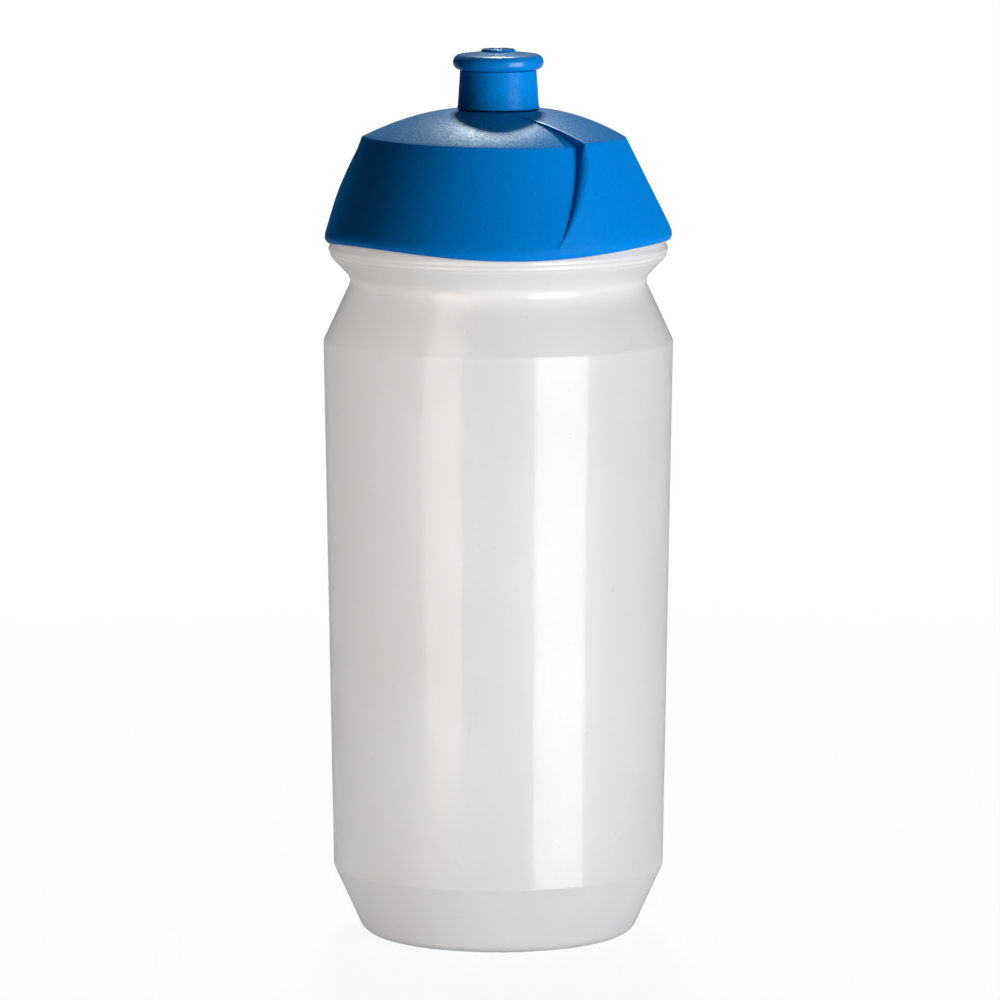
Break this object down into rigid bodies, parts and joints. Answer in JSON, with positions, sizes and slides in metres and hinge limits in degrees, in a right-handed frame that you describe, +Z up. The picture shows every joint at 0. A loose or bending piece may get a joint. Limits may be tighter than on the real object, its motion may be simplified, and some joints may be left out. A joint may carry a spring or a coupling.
{
  "type": "sports squeeze bottle",
  "caption": "Tapered translucent squeeze bottle with a cage groove, a swirled screw lid and a push-pull drinking spout.",
  "frame": {"origin": "centre of the ring the bottle stands on, at the surface it stands on", "axes": "+Z up along the bottle's axis towards the spout, -Y towards the front"},
  "size_m": [0.074, 0.074, 0.1884],
  "materials": {
    "bottle_plastic": "translucent milky low-density polyethylene, soft gloss",
    "lid_plastic": "blue polypropylene with a fine spark-eroded grain",
    "mouthpiece_plastic": "blue soft elastomer, smoother than the lid",
    "seal_rubber": "pale grey silicone"
  },
  "bodies": {
    "bottle": {"bottle_body": "bottle_plastic"},
    "seal": {"lid_gasket": "seal_rubber"},
    "lid": {"screw_lid": "lid_plastic", "valve_stem": "lid_plastic", "stem_seal_ring": "seal_rubber"},
    "nozzle": {"nozzle_sleeve": "lid_plastic", "mouthpiece": "mouthpiece_plastic"}
  },
  "joints": [
    {"name": "lid_rise", "type": "slide", "parent": "bottle", "child": "seal", "axis": [0, 0, 1], "range_m": [0, 0.021]},
    {"name": "lid_turn", "type": "hinge", "parent": "seal", "child": "lid", "pos_m": [0, 0, 0.15], "axis": [0, 0, 1], "range_deg": [0, 1800]},
    {"name": "nozzle_pull", "type": "slide", "parent": "lid", "child": "nozzle", "axis": [0, 0, 1], "range_m": [0, 0.0054]}
  ],
  "couplings": [
    {"joint": "lid_rise", "follows": "lid_turn", "m_per_rad": 0.00066845}
  ]
}
